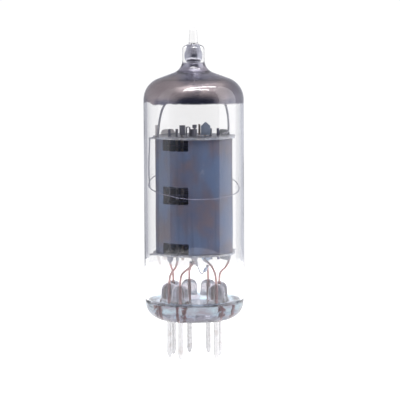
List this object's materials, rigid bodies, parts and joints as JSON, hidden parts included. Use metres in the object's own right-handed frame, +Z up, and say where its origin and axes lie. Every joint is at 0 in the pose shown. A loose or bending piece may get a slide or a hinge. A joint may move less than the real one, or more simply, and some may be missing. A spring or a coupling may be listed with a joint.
{
  "type": "miniature vacuum tube",
  "caption": "All-glass miniature vacuum tube: pin base, clear bulb with mirrored dome and sealed tip, dark cylindrical plate and electrode cage inside.",
  "frame": {"origin": "on the tube's axis, in the plane of the pin points", "axes": "+Z up along the tube's axis towards the exhaust tip; the gap in the pin circle faces -Y"},
  "size_m": [0.0186, 0.0186, 0.061],
  "materials": {
    "bulb_glass": "clear polished",
    "base_glass": "clear pressed, faintly blue-green",
    "pin_nickel": "bright nickel, lightly tarnished",
    "copper_sheath": "oxidised copper sheath",
    "getter_film": "dark evaporated metal mirror",
    "mica": "translucent mica sheet",
    "carbonised_metal": "matt blue-grey carbonised nickel",
    "oxide_coating": "white sprayed oxide",
    "heater_coating": "white alumina on tungsten",
    "grid_wire": "fine drawn wire",
    "nickel_strip": "dull annealed nickel"
  },
  "bodies": {
    "root": {"bottom_mica": "mica", "button_stem": "base_glass", "cathode_coating": "oxide_coating", "cathode_sleeve": "nickel_strip", "cathode_strap": "nickel_strip", "cathode_tab": "nickel_strip", "contact_pin_1": "pin_nickel", "contact_pin_2": "pin_nickel", "contact_pin_3": "pin_nickel", "contact_pin_4": "pin_nickel", "contact_pin_5": "pin_nickel", "contact_pin_6": "pin_nickel", "contact_pin_7": "pin_nickel", "control_grid_fin": "carbonised_metal", "control_grid_low_fin": "carbonised_metal", "control_grid_rods": "nickel_strip", "control_grid_winding": "grid_wire", "edge_fin": "nickel_strip", "exhaust_tip": "bulb_glass", "folded_strap": "nickel_strip", "getter_flash": "getter_film", "getter_leg_left": "nickel_strip", "getter_leg_right": "nickel_strip", "getter_ring": "nickel_strip", "getter_tab": "carbonised_metal", "glass_bulb": "bulb_glass", "heater": "heater_coating", "heater_bead": "nickel_strip", "heater_link": "nickel_strip", "heater_tab_left": "nickel_strip", "heater_tab_right": "nickel_strip", "hoop_hanger": "nickel_strip", "hoop_ring": "nickel_strip", "lead_1": "copper_sheath", "lead_2": "copper_sheath", "lead_3": "nickel_strip", "lead_4": "nickel_strip", "lead_5": "copper_sheath", "lead_6": "copper_sheath", "lead_7": "copper_sheath", "plate": "carbonised_metal", "plate_tab": "carbonised_metal", "screen_grid_rods": "nickel_strip", "screen_grid_winding": "grid_wire", "seal_wires": "copper_sheath", "suppressor_grid_rods": "nickel_strip", "suppressor_grid_winding": "grid_wire", "suppressor_low_fin": "nickel_strip", "tip_flash": "getter_film", "top_mica": "mica", "upright_strap": "nickel_strip"}
  },
  "joints": []
}
